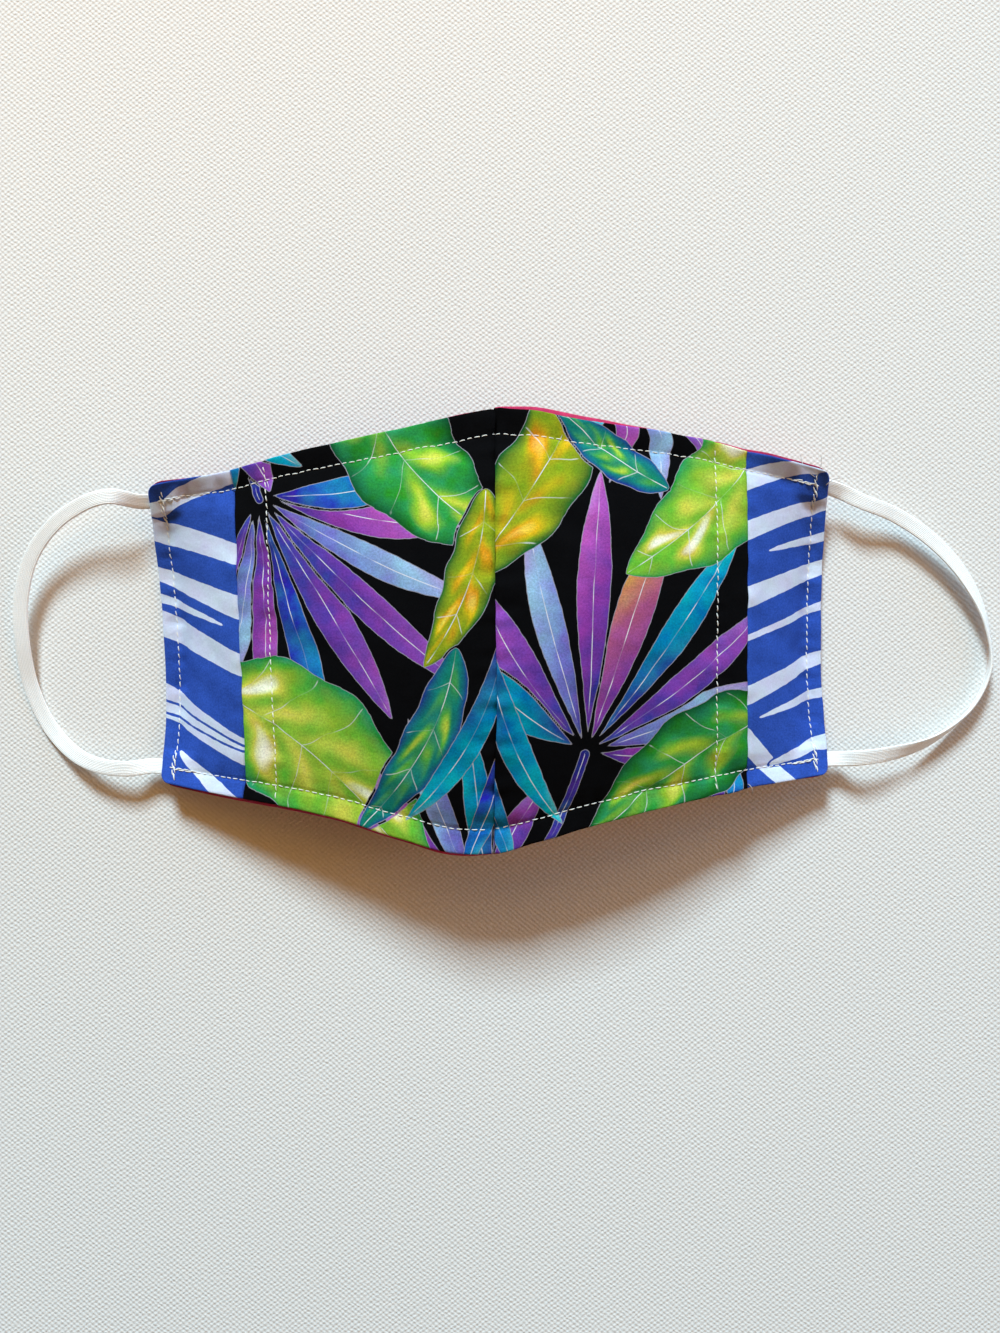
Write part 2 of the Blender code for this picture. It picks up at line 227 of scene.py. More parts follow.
def cloth_point(side, x, up):
    """A point on the top of the cloth before the pockets for the elastic are raised."""
    centre = upright("centre", up)
    edge = upright(side + "_side", up)
    across = np.clip((x - centre) / (edge - centre), 0, 1)
    top, bottom = edge_height(side, "top", across), edge_height(side, "bottom", across)
    power = section_value("lift_power", across)
    to_top = np.clip(2 * up - 1, 0, None) ** power
    to_bottom = np.clip(1 - 2 * up, 0, None) ** power
    middle = section_value("middle_rise", across)
    rise = DOME_RISE * (
        middle
        + (section_value("top_rise", across) - middle) * to_top
        + (section_value("bottom_rise", across) - middle) * to_bottom
    )
    in_from_edge = np.abs(edge - x)
    if side == CURLED_CORNER[0]:
        towards = to_top if CURLED_CORNER[1] == "top" else to_bottom
        rise = rise + CURL_RISE * fade(in_from_edge, 0, CURL_REACH) * towards
    rise = rise - CENTRE_DIP * fade(np.abs(x - centre), 0, CENTRE_DIP_REACH)
    into_panel = np.abs(x - centre) - np.abs(upright(side + "_seam", up) - centre)
    rise = rise - PANEL_DIP * fade(np.abs(into_panel), 0, PANEL_DIP_REACH)
    rise = rise - STITCH_DIP * fade(np.abs(into_panel + STITCH_TO_SEAM), 0, STITCH_DIP_REACH)
    from_end = np.minimum(up, 1 - up) * side_height(side)
    hem_line = fade(np.abs(from_end - HEM_DEPTH), 0, STITCH_DIP_REACH)
    off_pocket = 1 - fade(in_from_edge, POCKET_DEPTH, LOOP_WIDTH)
    rise = rise - STITCH_DIP * hem_line * off_pocket
    rise = np.maximum(rise, REST_RISE)
    return np.stack([x, bottom + (top - bottom) * up, rise], axis=-1)


def cloth_normal(side, x, up):
    step_x, step_up = 0.2, 0.002
    along = cloth_point(side, x + step_x, up) - cloth_point(side, x - step_x, up)
    upwards = cloth_point(side, x, up + step_up) - cloth_point(side, x, up - step_up)
    return unit(np.cross(along, upwards))


def pocket(side, x, up):
    """How far the outer cloth is raised over the elastic's ends."""
    height = side_height(side)
    along = np.minimum(np.abs(up * height - EXIT_INSET), np.abs((1 - up) * height - EXIT_INSET))
    inwards = np.abs(side_edge(side, up) - x)
    return (POCKET_LIFT * fade(along, POCKET_HALF, POCKET_FADE)
            * fade(inwards, POCKET_DEPTH, LOOP_WIDTH))


def exit_frame(side, edge):
    """Three points of the elastic's middle line where it leaves the layers, and its normal."""
    shares = np.array([EXIT_INSET + TAIL_SLANT[side, edge], EXIT_INSET]) / side_height(side)
    up = 1 - shares if edge == "top" else shares
    x = side_edge(side, up) - OUTWARDS[side] * np.array([TAIL_LENGTH, 0])
    normal = cloth_normal(side, x.mean(), up.mean())
    level = (OUTER_CLOTH + LAYER_GAP) - (LAYER_GAP + POCKET_LIFT) / 2
    inner, outer = cloth_point(side, x, up) - level * normal
    return inner, outer, outer + LEAD_OUT * unit(outer - inner), normal


def loop_route(side, step):
    """Points and face directions along an ear loop, from one tail to the other."""
    outwards = OUTWARDS[side]
    top, bottom = exit_frame(side, "top"), exit_frame(side, "bottom")
    points, ups = list(top[:3]), [top[3]] * 3
    rows = LOOP_ROUTES[side]
    for out, up, rise, turn in rows:
        points.append(np.array([outwards * (HALF_WIDTH + out * SIDE_REACH),
                                up * HALF_HEIGHT, rise * DOME_RISE]))
        ups.append(None)
    points += bottom[2::-1]
    ups += [bottom[3]] * 3
    for i, row in enumerate(rows, start=3):
        heading = unit(points[i + 1] - points[i - 1])
        level = unit(np.array([0, 0, 1.0]) - heading[2] * heading)
        turn = math.radians(row[ROUTE_COLUMNS.index("turn")])
        away = np.cross(heading, level)
        away *= outwards * np.sign(away[0])
        ups[i] = math.cos(turn) * level + math.sin(turn) * away
    points, ups = np.array(points), np.array(ups)
    run = run_lengths(points)
    at = np.linspace(0, run[-1], int(run[-1] / step) + 1)
    return smooth(at, run, points), smooth(at, run, ups)


# Camera and light

CAMERA_PLACE = (3.2, -10.6, 360.0)
CAMERA_LENS = 29.46
camera_data = bpy.data.cameras.new("camera")
camera_data.lens = CAMERA_LENS
camera_data.clip_start = 0.01
camera = bpy.data.objects.new("camera", camera_data)
camera.location = [c * MM for c in CAMERA_PLACE]
bpy.context.scene.collection.objects.link(camera)
bpy.context.scene.camera = camera
bpy.context.scene.view_settings.view_transform = "Standard"

# Area lights: the way to each from the place they aim at, its distance and size in metres, its watts
LIGHT_AIM = (0.0, 0.0, 0.01)
LIGHTS = {
    "key_light": ((-0.22, 1.0, 0.66), 6.0, 1.35, 580.0, (0.66, 0.915, 1.055)),
    "warm_light": ((-0.3, 1.0, 0.95), 0.62, 0.5, 1.3, (1.0, 0.45, 0.02)),
    "fill_light": ((1.0, -0.25, 0.8), 2.5, 2.0, 20.0, (1.0, 0.56, 0.23)),
    "cool_light": ((1.0, 0.42, 0.3), 2.5, 1.6, 26.0, (0.2, 0.58, 1.0)),
}
ROOM_COLOUR, ROOM_STRENGTH = (1.0, 0.60, 0.32, 1), 0.1

for light_name, (heading, distance, size, power, colour) in LIGHTS.items():
    data = bpy.data.lights.new(light_name, "AREA")
    data.size = size
    data.energy = power
    data.color = colour
    light = bpy.data.objects.new(light_name, data)
    heading = unit(np.array(heading))
    light.location = np.array(LIGHT_AIM) + heading * distance
    light.rotation_euler = Vector(heading).to_track_quat("Z", "Y").to_euler()
    bpy.context.scene.collection.objects.link(light)

world = bpy.data.worlds.new("room")
bpy.context.scene.world = world
world.use_nodes = True
background = world.node_tree.nodes["Background"]
background.inputs["Color"].default_value = ROOM_COLOUR
background.inputs["Strength"].default_value = ROOM_STRENGTH


# Node materials

def ink(red, green, blue):
    """A screen colour as linear light."""
    share = np.array([red, green, blue], float) / 255
    return tuple(np.where(share <= 0.04045, share / 12.92, ((share + 0.055) / 1.055) ** 2.4))


class Shader:
    """Builds one node material. Inputs are sockets or numbers."""

    def __init__(self, name, roughness=0.85, sheen=0.0, specular=0.3):
        self.material = bpy.data.materials.new(name)
        self.material.use_nodes = True
        self.tree = self.material.node_tree
        self.surface = self.tree.nodes["Principled BSDF"]
        for socket, value in (("Roughness", roughness), ("Sheen Weight", sheen),
                              ("Sheen Roughness", 0.5), ("Specular IOR Level", specular)):
            self.surface.inputs[socket].default_value = value

    def plug(self, socket, value):
        if isinstance(value, bpy.types.NodeSocket):
            self.tree.links.new(value, socket)
        elif value is not None:
            socket.default_value = (*value, 1) if socket.type == "RGBA" else value

    def add(self, kind, inputs, **settings):
        node = self.tree.nodes.new("ShaderNode" + kind)
        for name, value in settings.items():
            setattr(node, name, value)
        for name, value in inputs.items():
            self.plug(node.inputs[name], value)
        return node

    def math(self, operation, *values):
        node = self.add("Math", dict(enumerate(values)), operation=operation)
        return node.outputs[0]

    def ramp(self, value, low, high, to_low=0.0, to_high=1.0):
        """value from low to high, smoothly turned into to_low to to_high."""
        node = self.add("MapRange", {0: value, 1: low, 2: high, 3: to_low, 4: to_high},
                        interpolation_type="SMOOTHSTEP")
        return node.outputs[0]

    def mix(self, share, first, second, blend="MIX"):
        node = self.add("Mix", {0: share, 6: first, 7: second}, data_type="RGBA", blend_type=blend)
        return node.outputs[2]

    def shaded(self, colour, shade, share=1.0):
        """The colour times a grey shade."""
        grey = self.add("CombineXYZ", {0: shade, 1: shade, 2: shade}).outputs[0]
        return self.mix(share, colour, grey, "MULTIPLY")

    def wave(self, along, length, shift=0.0):
        """A sine wave of this length, with its phase shifted."""
        return self.math("SINE", self.math("MULTIPLY_ADD", along, 2 * math.pi / length, shift))

    def attribute(self, name, output="Vector"):
        return self.add("Attribute", {}, attribute_name=name).outputs[output]

    def split(self, vector):
        return self.add("SeparateXYZ", {0: vector}).outputs

    def noise(self, vector, scale, detail=2.0, roughness=0.5):
        node = self.add("TexNoise", {"Vector": vector, "Scale": scale, "Detail": detail,
                                     "Roughness": roughness})
        return node.outputs[0]

    def bump(self, height, depth, before=None):
        """depth is in millimetres."""
        node = self.add("Bump", {"Height": height, "Distance": depth * MM, "Normal": before})
        return node.outputs[0]

    def weave(self, pitch, depth):
        """A plain weave with uneven threads, as a bumped normal, and its height."""
        cloth = self.attribute("cloth")
        warp, weft, _ = self.split(cloth)
        uneven = self.math("MULTIPLY", self.noise(cloth, 0.7 / pitch), 2.4)
        over, under = self.wave(warp, pitch, uneven), self.wave(weft, pitch, uneven)
        height = self.math("MULTIPLY", over, under)
        crease = self.bump(self.noise(cloth, 0.22, 3.0), 0.35)
        return self.bump(height, depth, crease), height

    def finish(self, colour, normal):
        self.plug(self.surface.inputs["Base Color"], colour)
        self.plug(self.surface.inputs["Normal"], normal)
        return self.material


# Lengths of the prints and the weaves in millimetres, and how much of the grain the pale stripes show
WEAVE_PITCH = 0.42
LINE_HALF = 0.12
VEIN_WANDER = 9.0
VEINS_FROM, VEINS_FULL = -0.6, -1.6
EDGE_SOFT = 0.07
PALE_GRAIN = 0.3
RIB_PITCH, LOOP_PITCH = 0.5, 0.55
TWIST_PITCH = 0.4


def print_material(name, ground, layers, vein_ink, outline_ink, speckle):
    """Cloth printed with layers of leaves: each has its own edge, veins and inks."""
    made = Shader(name, roughness=0.95, specular=0.05)
    cloth = made.attribute("cloth")
    fine = made.ramp(made.noise(cloth, 1.5, 3.0, 0.8), 0.3, 0.7)
    broad = made.noise(cloth, 0.16, 3.0)
    shade = made.math("MULTIPLY_ADD", fine, speckle, 1 - speckle / 2)
    grain = made.math("MULTIPLY_ADD", made.math("SUBTRACT", broad, 0.5), 0.5, shade)
    colour = made.shaded(ground, grain)
    for layer, veined in layers:
        edge, along, lateral = made.split(made.attribute("leaf_" + layer))
        wobble = made.math("MULTIPLY_ADD", made.noise(cloth, 0.35), 0.5, -0.25)
        edge = made.math("ADD", edge, wobble)
        inks = made.attribute("ink_" + layer, "Color")
        shifted = made.math("MULTIPLY_ADD", made.noise(cloth, 0.13), 0.16, 0.42)
        inks = made.add("HueSaturation", {"Hue": shifted, "Color": inks}).outputs[0]
        inks = made.shaded(inks, grain, 1.0 if veined else PALE_GRAIN)
        if veined is not None:
            spacing, slant = veined
            off = made.math("ABSOLUTE", lateral)
            rib = made.ramp(off, LINE_HALF * 0.7, LINE_HALF * 1.5, 1.0, 0.0)
            if spacing:
                curve = made.math("MULTIPLY_ADD", off, 0.022, -slant)
                bowed = made.math("MULTIPLY_ADD", off, curve, along)
                bowed = made.math("MULTIPLY_ADD", made.noise(cloth, 0.05, 1.0), VEIN_WANDER, bowed)
                phase = made.math("PINGPONG", bowed, spacing)
                veins = made.ramp(phase, LINE_HALF * 0.8, LINE_HALF * 2.0, 0.65, 0.0)
                rib = made.math("MAXIMUM", rib, veins)
            inner = made.ramp(edge, VEINS_FULL, VEINS_FROM, 1.0, 0.0)
            fading = made.ramp(made.noise(cloth, 0.09, 1.0), 0.40, 0.56, 0.12, 0.9)
            rib = made.math("MULTIPLY", made.math("MULTIPLY", rib, inner), fading)
            inks = made.mix(rib, inks, vein_ink)
        inside = made.ramp(edge, -EDGE_SOFT, EDGE_SOFT, 1.0, 0.0)
        colour = made.mix(inside, colour, inks)
        if outline_ink is not None:
            line = made.ramp(made.math("ABSOLUTE", edge), LINE_HALF * 0.6, LINE_HALF * 1.3, 0.8, 0.0)
            colour = made.mix(line, colour, outline_ink)
    normal, height = made.weave(WEAVE_PITCH, 0.05)
    # Painted shade: the print is darkened a little where the weave dips, following the bump's height
    return made.finish(made.shaded(colour, made.math("MULTIPLY_ADD", height, 0.05, 0.97)), normal)


def plain_cloth(name, main, other):
    made = Shader(name, sheen=0.15)
    cloth = made.attribute("cloth")
    mottle = made.ramp(made.noise(cloth, 0.3, 4.0, 0.6), 0.35, 0.65)
    colour = made.mix(mottle, main, other)
    normal, height = made.weave(WEAVE_PITCH, 0.06)
    # Painted shade: the lining is darkened a little where the weave dips, following the bump's height
    return made.finish(made.shaded(colour, made.math("MULTIPLY_ADD", height, 0.08, 0.95)), normal)


def elastic_material():
    made = Shader("knitted_elastic", roughness=0.75, sheen=0.2)
    cloth = made.attribute("cloth")
    along, across, _ = made.split(cloth)
    ribs = made.wave(across, RIB_PITCH)
    leaning = made.math("MULTIPLY_ADD", made.math("ABSOLUTE", ribs), 0.35, along)
    loops = made.wave(leaning, LOOP_PITCH)
    height = made.math("MULTIPLY_ADD", loops, 0.5, ribs)
    # Painted shade: the elastic is darker in the knit's hollows and paler on its raised ribs, following
    # the bump's height
    colour = made.mix(made.ramp(height, -1.2, 1.0), ink(240, 240, 237), ink(255, 255, 254))
    return made.finish(colour, made.bump(height, 0.04))


def thread_material():
    made = Shader("sewing_thread", roughness=0.6, sheen=0.1)
    cloth = made.attribute("cloth")
    along, around, tail_shade_mask = made.split(cloth)
    twist = made.wave(along, TWIST_PITCH, around)
    # Painted shade: the thread is darker in the grooves of its twist and paler on the ridges, following
    # the bump
    colour = made.mix(made.ramp(twist, -1.0, 1.0), ink(220, 219, 211), ink(247, 246, 240))
    # Painted shade: the loose thread ends are drawn a darker grey-pink than the sewn thread
    colour = made.mix(tail_shade_mask, colour, ink(196, 188, 184))
    return made.finish(colour, made.bump(twist, 0.03))


# Meshes

LEAST_RISE = 0.03


def make_mesh(name, points, blocks, material, attributes=None, piece=True):
    """A smooth-shaded mesh object; points are in millimetres, and each block holds quads or triangles."""
    mesh = bpy.data.meshes.new(name)
    points = np.asarray(points, float).reshape(-1, 3) * MM
    if piece:
        points[:, 2] = np.maximum(points[:, 2], LEAST_RISE * MM)
    counts = np.concatenate([np.full(len(block), block.shape[1]) for block in blocks])
    flat = np.concatenate([block.ravel() for block in blocks])
    mesh.vertices.add(len(points))
    mesh.vertices.foreach_set("co", points.ravel())
    mesh.loops.add(len(flat))
    mesh.loops.foreach_set("vertex_index", flat.astype(np.int32))
    mesh.polygons.add(len(counts))
    mesh.polygons.foreach_set("loop_start", np.concatenate([[0], np.cumsum(counts)[:-1]]).astype(np.int32))
    mesh.polygons.foreach_set("use_smooth", np.ones(len(counts), bool))
    mesh.update(calc_edges=True)
    for label, values in (attributes or {}).items():
        colour = values.shape[-1] == 4
        layer = mesh.attributes.new(label, "FLOAT_COLOR" if colour else "FLOAT_VECTOR", "POINT")
        layer.data.foreach_set("color" if colour else "vector",
                               np.ascontiguousarray(values, np.float32).ravel())
    mesh.validate()
    made = bpy.data.objects.new(name, mesh)
    bpy.context.scene.collection.objects.link(made)
    mesh.materials.append(material)
    if piece:
        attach(made, "root")
    return made


def spaced(length, step):
    """Distances from one edge to the other, closer together where the edges are rounded."""
    near = np.array([0, 0.04, 0.12, 0.25, 0.42, 0.65, 1.0])
    inner = np.linspace(1.0, length - 1.0, max(3, int(round((length - 2) / step))) + 1)[1:-1]
    return np.concatenate([near, inner, (length - near)[::-1]])


def rounding(distance, reach, depth):
    """How far a surface has dropped at this distance from a rounded edge."""
    into = np.clip(1 - distance / reach, 0, 1)
    return depth * (1 - np.sqrt(np.clip(1 - into**2, 0, 1)))


def wander(along, length, seed):
    """A wave of uneven length and height, from -1 to 1."""
    total = 0
    for i, (stretch, weight) in enumerate(((1.0, 0.5), (1.37, 0.3), (0.61, 0.2))):
        total = total + weight * np.sin(2 * math.pi * along / (length * stretch) + 1.7 * seed + 2.1 * i)
    return total


def relief(side, x, up):
    """Fine relief of the cloth along its normal: grooves at stitches, flared hems, puckers."""
    seed = 1 if side == "left" else 2
    centre, edge, seam = upright("centre", up), upright(side + "_side", up), upright(side + "_seam", up)
    across = np.clip((x - centre) / (edge - centre), 0, 1)
    height = edge_height(side, "top", across) - edge_height(side, "bottom", across)
    hem = HEM_DEPTH / side_height(side) * height
    from_end = np.minimum(up, 1 - up) * height
    in_edge, off_centre = np.abs(edge - x), np.abs(x - centre)
    into_panel = off_centre - np.abs(seam - centre)
    to_upright_stitch = np.minimum(np.abs(into_panel + STITCH_TO_SEAM), np.abs(in_edge - SIDE_STITCH))
    to_hem_stitch = np.abs(from_end - hem)
    y = (up - 0.5) * height
    nearest = np.minimum(to_hem_stitch, to_upright_stitch)
    total = -STITCH_GROOVE * fade(nearest, 0, STITCH_GROOVE_REACH)
    upper = (up > 0.5) * 1
    flare = np.where(upper, TOP_FLARE, BOTTOM_FLARE) * (1 - (1 - CORNER_SHARE) * across**2)
    total = total + flare * np.clip(1 - from_end / hem, 0, 1) ** FLARE_POWER
    total = total + SIDE_FLARE * np.clip(1 - in_edge / SIDE_STITCH, 0, 1)
    knob = np.where(upper, KNOBS[side, 1], KNOBS[side, 0])
    from_knob = np.hypot(in_edge - KNOB_INSET, from_end - KNOB_INSET)
    total = total + knob * np.exp(-((from_knob / KNOB_REACH) ** 2))
    for tall, wave, apart, full, reach in (
        (PUCKER, wander(x, HEM_WAVE, seed), to_hem_stitch, 0.4, PUCKER_REACH),
        (PUCKER, wander(y, STITCH_WAVE, seed + 3), to_upright_stitch, 0.4, PUCKER_REACH),
        (SEAM_PUCKER, wander(y, SEAM_WAVE, seed + 5), off_centre, 1.0, SEAM_PUCKER_REACH),
        (PANEL_PUCKER, wander(y, PANEL_WAVE, seed + 7), np.abs(into_panel), 0.6, PANEL_PUCKER_REACH),
    ):
        total = total + tall * wave * fade(apart, full, reach)
    one = wander(x + 0.6 * y, SOFT_WAVES[0], seed + 9)
    other = wander(y - 0.4 * x, SOFT_WAVES[1], seed + 11)
    total = total + SOFT_HEIGHT * one * other
    return total * (1 - POCKET_CALMS * np.clip(pocket(side, x, up) / POCKET_LIFT, 0, 1))


def top_surface(side, x, up):
    """Points on the outer cloth's face, with its normals."""
    normal = cloth_normal(side, x, up)
    raised = POCKET_SHOWS * pocket(side, x, up) + relief(side, x, up)
    return cloth_point(side, x, up) + raised[..., None] * normal, normal


def lining_surface(side, x, up):
    """Points on the lining's upper face, with its normals."""
    normal = cloth_normal(side, x, up)
    raised = relief(side, x, up) - OUTER_CLOTH - LAYER_GAP
    return cloth_point(side, x, up) + raised[..., None] * normal, normal


def shell(grid, normal, thickness, drop, flip):
    """A closed sheet: top and under side share their rim, and drop rounds both towards it."""
    rows, columns = grid.shape[:2]
    top = grid - drop[..., None] * normal
    under = grid - (thickness - drop)[..., None] * normal
    inner = np.ones((rows, columns), bool)
    inner[0] = inner[-1] = inner[:, 0] = inner[:, -1] = False
    rim = ~inner
    middle = 0.5 * (top + under)
    top[rim] = middle[rim]
    index = np.arange(rows * columns).reshape(rows, columns)
    under_index = index.copy()
    under_index[inner] = rows * columns + np.arange(inner.sum())
    quads = []
    for numbers, turned in ((index, flip), (under_index, not flip)):
        a, b = numbers[:-1, :-1], numbers[:-1, 1:]
        c, d = numbers[1:, 1:], numbers[1:, :-1]
        quad = np.stack([a, b, c, d], axis=-1).reshape(-1, 4)
        quads.append(quad[:, ::-1] if turned else quad)
    points = np.concatenate([top.reshape(-1, 3), under[inner]])
    return points, np.concatenate(quads), inner


def arc_lengths(grid):
    """Distances over the cloth: outwards along the rows, and up and down from the middle row."""
    rise = run_lengths(grid)
    return run_lengths(grid.swapaxes(0, 1)).T, rise - rise[len(grid) // 2]


def cloth_grid(side, first, last, step):
    """The values x and up of a grid between two upright lines, and distances from its edges."""
    height = side_height(side)
    rows = spaced(height, step * UPRIGHT_STEP_SHARE)[:, None]
    up = rows / height
    start, end = first(up), last(up)
    width = float(np.abs(end - start).max())
    shares = (spaced(width, step) / width)[None, :]
    x = start + (end - start) * shares
    across = np.abs(end - start) * shares
    off_sides = np.minimum(across, np.abs(end - start) - across)
    off_ends = np.minimum(rows, height - rows) + 0 * x
    return x, up + 0 * x, off_sides, off_ends


def lines_across(side):
    """The centre seam, the end panel's seam and the side edge, each as a function of up."""
    return (lambda up: upright("centre", up),
            lambda up: upright(side + "_seam", up),
            lambda up: side_edge(side, up))


# The print

INKS = {
    "purple": ((58, 62, 158), (104, 58, 162), (142, 74, 178), (170, 126, 206)),
    "magenta": ((76, 52, 150), (132, 58, 160), (176, 86, 180), (196, 154, 216)),
    "blue": ((44, 50, 146), (36, 82, 172), (20, 132, 190), (96, 198, 214)),
    "turquoise": ((46, 60, 150), (0, 128, 170), (10, 172, 200), (150, 216, 226)),
    "ice": ((76, 66, 158), (116, 130, 200), (150, 188, 222), (172, 110, 190)),
    "gold": ((120, 56, 150), (168, 84, 130), (226, 160, 24), (236, 206, 90)),
    "reed": ((30, 70, 140), (20, 128, 112), (84, 170, 70), (176, 206, 70)),
    "lime": ((34, 146, 74), (126, 188, 54), (214, 214, 84), (252, 252, 226)),
    "grass": ((16, 84, 44), (44, 150, 70), (150, 194, 50), (226, 222, 92)),
    "amber": ((18, 92, 40), (142, 160, 30), (222, 166, 28), (240, 214, 84)),
    "stem": ((36, 42, 128), (52, 56, 150), (60, 62, 160), (74, 66, 166)),
    "pale": ((206, 216, 240), (212, 221, 244), (216, 225, 246), (220, 229, 248)),
}

LEAF_COLUMNS = ("layer", "from_u", "from_v", "to_u", "to_v", "bow", "half_width", "kind", "ink")
FAN_COLUMNS = ("layer", "u", "v", "first_turn", "last_turn", "blades", "short", "long", "half_width",
               "bow", "inks")
PRINT_LEAVES = {
    "left": (
        ("a", -76, 42, -88, 78, 1, 1.3, "blade", "stem"),
        ("b", -98, -16, -22, -82, 10, 22, "broad", "lime"),
        ("b", -48, 88, 4, 26, -7, 18, "broad", "grass"),
        ("b", -3, 44, -22, -10, 5, 8.0, "broad", "amber"),
        ("b", -12, -4, -44, -62, 6, 7.5, "broad", "reed"),
        ("c", 4, 8, -28, -58, 7, 4.4, "blade", "turquoise"),
        ("c", 6, -18, -12, -76, 4, 4.0, "blade", "blue"),
    ),
    "right": (
        ("a", 28, -40, 8, -84, 2, 1.5, "blade", "stem"),
        ("b", 96, 70, 40, 14, 6, 17, "broad", "lime"),
        ("b", -8, 18, 32, 88, -5, 14, "broad", "amber"),
        ("b", 98, -28, 30, -70, -5, 15, "broad", "grass"),
        ("b", 54, 40, 20, 70, 3, 6.5, "broad", "reed"),
        ("c", -4, 6, 22, -62, -6, 4.6, "blade", "turquoise"),
        ("c", -8, -22, 8, -76, -3, 4.2, "blade", "blue"),
    ),
}
PRINT_FANS = {
    "left": (
        ("a", -76, 42, -122, 8, 9, 52, 92, 5.6, 3, ("purple", "ice", "magenta", "blue", "purple")),
        ("a", -4, -92, 66, 152, 7, 48, 72, 5.0, -3, ("magenta", "purple", "turquoise", "ice")),
        ("a", -96, 74, -70, -14, 4, 30, 44, 4.4, 2, ("blue", "purple", "turquoise")),
    ),
    "right": (
        ("a", 28, -40, 2, 138, 9, 50, 90, 6.0, -3, ("magenta", "ice", "purple", "turquoise", "gold")),
        ("a", 58, 104, -140, -66, 6, 46, 70, 5.0, 3, ("purple", "turquoise", "magenta", "ice")),
        ("a", 84, -78, 96, 166, 5, 34, 52, 4.6, 3, ("blue", "purple", "reed")),
        ("a", -6, -92, 40, 110, 4, 40, 56, 4.6, 2, ("turquoise", "purple", "magenta")),
    ),
}
STRIPE_COLUMNS = ("from_u", "from_v", "to_u", "to_v", "bow", "half_width")
STRIPES = {
    "left": (
        (40, 66, -60, 30, 0, 4.0), (-46, 39, 56, 6, 1, 4.2), (46, -6, -52, 27, 1, 4.8),
        (-42, 15, -6, 3, 0, 1.6), (-52, 11, 60, -36, 1, 4.4), (-50, -13, 56, -62, -1, 5.2),
        (-44, -19, 2, -37, 0, 1.6), (10, -66, -26, -38, -1, 3.6), (-40, -50, 2, -72, 0, 4.2),
    ),
    "right": (
        (-30, 34, 70, 68, 0, 3.8), (-40, 12, 66, 52, 1, 3.6), (40, 31, 8, 22, 0, 1.7),
        (-36, -6, 64, 30, 0, 4.0), (64, 18, -34, -17, 1, 1.5), (-40, -40, 60, 0, 0, 3.6),
        (40, -20, 4, -31, 0, 1.7), (-12, -28, 40, -80, 1, 3.8), (38, -36, 8, -46, 0, 2.6),
    ),
}
STRIPE_TAPER = 0.45
BLADE_STEPS = 20
LEAF_GAP = 0.8


def leaf_rows(side):
    """Every leaf of a panel: the single ones and the blades of the fans."""
    rows = [dict(zip(LEAF_COLUMNS, row)) for row in PRINT_LEAVES[side]]
    for fan_row in PRINT_FANS[side]:
        fan = dict(zip(FAN_COLUMNS, fan_row))
        for i in range(fan["blades"]):
            share = i / (fan["blades"] - 1)
            turn = math.radians(fan["first_turn"] + (fan["last_turn"] - fan["first_turn"]) * share)
            reach = fan["short"] + (fan["long"] - fan["short"]) * math.sin(math.pi * share) ** 0.7
            reach *= 0.94 + 0.06 * math.cos(2.4 * i)
            near = 5 + 2 * (i % 2)
            heading = np.array([math.cos(turn), math.sin(turn)])
            start, end = (np.array([fan["u"], fan["v"]]) + far * heading for far in (near, reach))
            rows.append({"layer": fan["layer"], "from_u": start[0], "from_v": start[1],
                         "to_u": end[0], "to_v": end[1],
                         "bow": fan["bow"] * math.cos(math.pi * share) + 0.8 * math.sin(2.0 * i),
                         "half_width": fan["half_width"] * (0.88 + 0.12 * math.sin(1.9 * i)),
                         "kind": "blade", "ink": fan["inks"][i % len(fan["inks"])]})
    return rows


